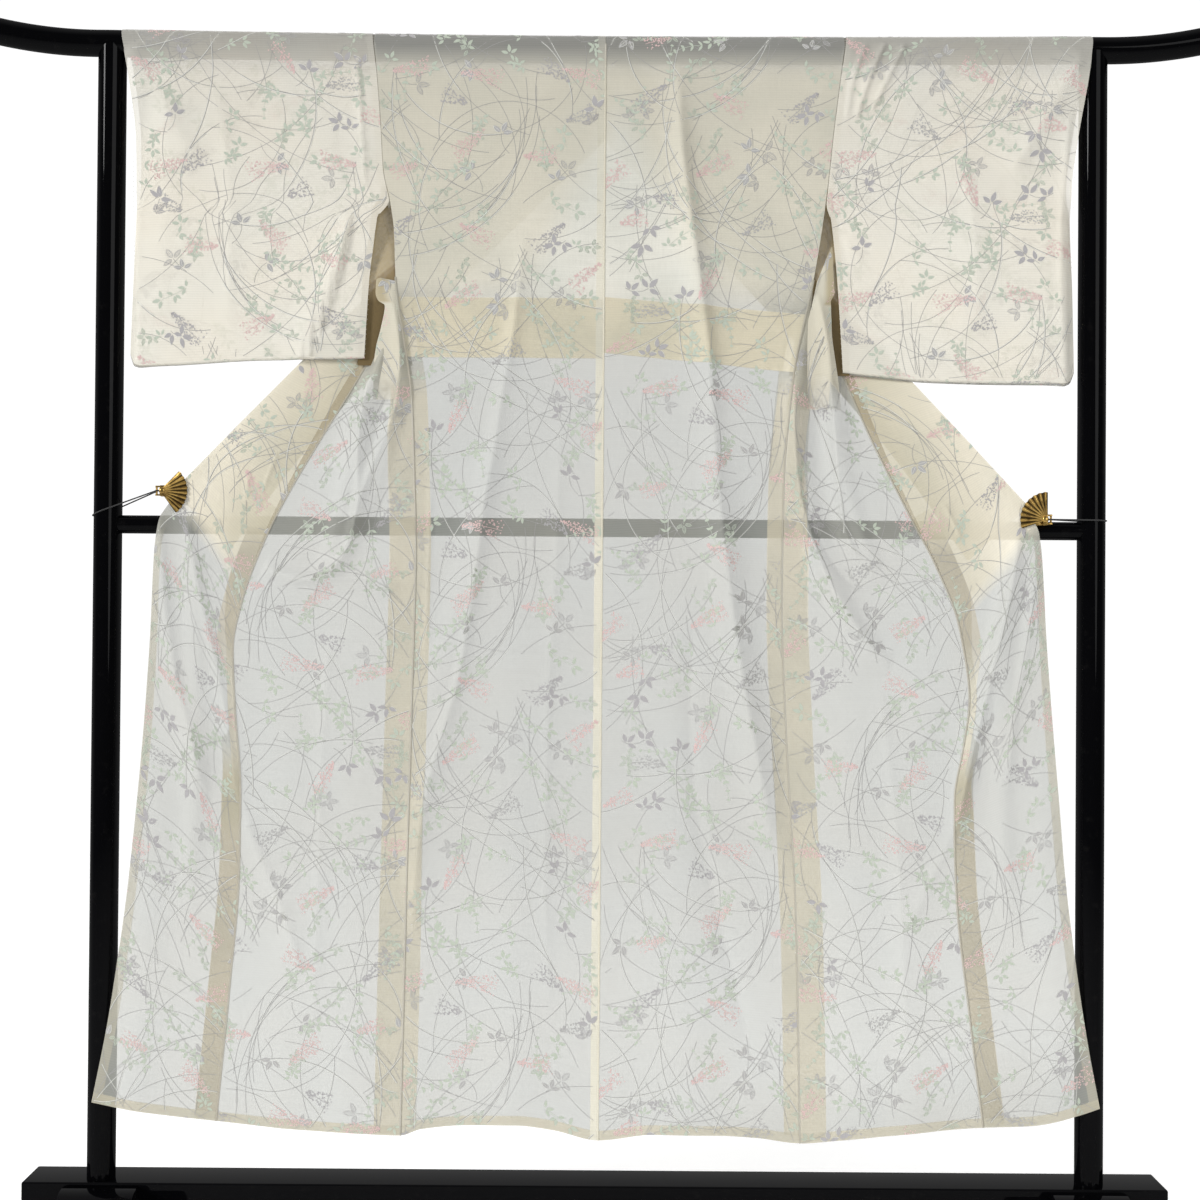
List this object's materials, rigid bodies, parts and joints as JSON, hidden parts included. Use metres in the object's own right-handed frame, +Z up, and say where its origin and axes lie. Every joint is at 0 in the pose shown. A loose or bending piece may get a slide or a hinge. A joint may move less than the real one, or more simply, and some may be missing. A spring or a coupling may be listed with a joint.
{
  "type": "silk kimono on a kimono stand",
  "caption": "Unlined silk gauze kimono with long sleeves, hung spread out on the top rail of a black lacquered kimono stand, its fronts drawn out by fan clips.",
  "frame": {"origin": "on the floor under the middle of the stand", "axes": "+Z up, X along the top rail, the back of the kimono faces -Y"},
  "size_m": [1.8094, 0.5, 1.7491],
  "materials": {
    "back_left": "sheer ribbed silk gauze, cream white, printed with fine stems, small leaves and sprays",
    "back_right": "sheer ribbed silk gauze, cream white, printed with fine stems, small leaves and sprays",
    "front_left": "sheer ribbed silk gauze, cream white, printed with fine stems, small leaves and sprays",
    "front_right": "sheer ribbed silk gauze, cream white, printed with fine stems, small leaves and sprays",
    "okumi_left": "sheer ribbed silk gauze, cream white, printed with fine stems, small leaves and sprays",
    "okumi_right": "sheer ribbed silk gauze, cream white, printed with fine stems, small leaves and sprays",
    "collar": "sheer ribbed silk gauze, cream white, printed with fine stems, small leaves and sprays",
    "sleeve_left": "sheer ribbed silk gauze, cream white, printed with fine stems, small leaves and sprays",
    "sleeve_right": "sheer ribbed silk gauze, cream white, printed with fine stems, small leaves and sprays",
    "waist_tuck_left": "sheer ribbed silk gauze, cream white, printed with fine stems, small leaves and sprays",
    "waist_tuck_right": "sheer ribbed silk gauze, cream white, printed with fine stems, small leaves and sprays",
    "base_beam": "black lacquer, glossy",
    "foot_left": "black lacquer, glossy",
    "foot_right": "black lacquer, glossy",
    "post_left": "black lacquer, glossy",
    "post_right": "black lacquer, glossy",
    "top_rail": "black lacquer, glossy",
    "cross_rail": "black lacquer, glossy",
    "clip_left_fan": "polished, gold in colour",
    "clip_left_jaw": "polished, gold in colour",
    "clip_left_hinge": "polished, gold in colour",
    "clip_right_fan": "polished, gold in colour",
    "clip_right_jaw": "polished, gold in colour",
    "clip_right_hinge": "polished, gold in colour",
    "cord_left": "black elastic cord",
    "cord_right": "black elastic cord"
  },
  "bodies": {
    "root": {"back_left": "back_left", "back_right": "back_right", "front_left": "front_left", "front_right": "front_right", "okumi_left": "okumi_left", "okumi_right": "okumi_right", "collar": "collar", "sleeve_left": "sleeve_left", "sleeve_right": "sleeve_right", "waist_tuck_left": "waist_tuck_left", "waist_tuck_right": "waist_tuck_right", "base_beam": "base_beam", "foot_left": "foot_left", "foot_right": "foot_right", "post_left": "post_left", "post_right": "post_right", "top_rail": "top_rail", "cross_rail": "cross_rail", "clip_left_fan": "clip_left_fan", "clip_left_jaw": "clip_left_jaw", "clip_left_hinge": "clip_left_hinge", "clip_right_fan": "clip_right_fan", "clip_right_jaw": "clip_right_jaw", "clip_right_hinge": "clip_right_hinge", "cord_left": "cord_left", "cord_right": "cord_right"}
  },
  "joints": []
}
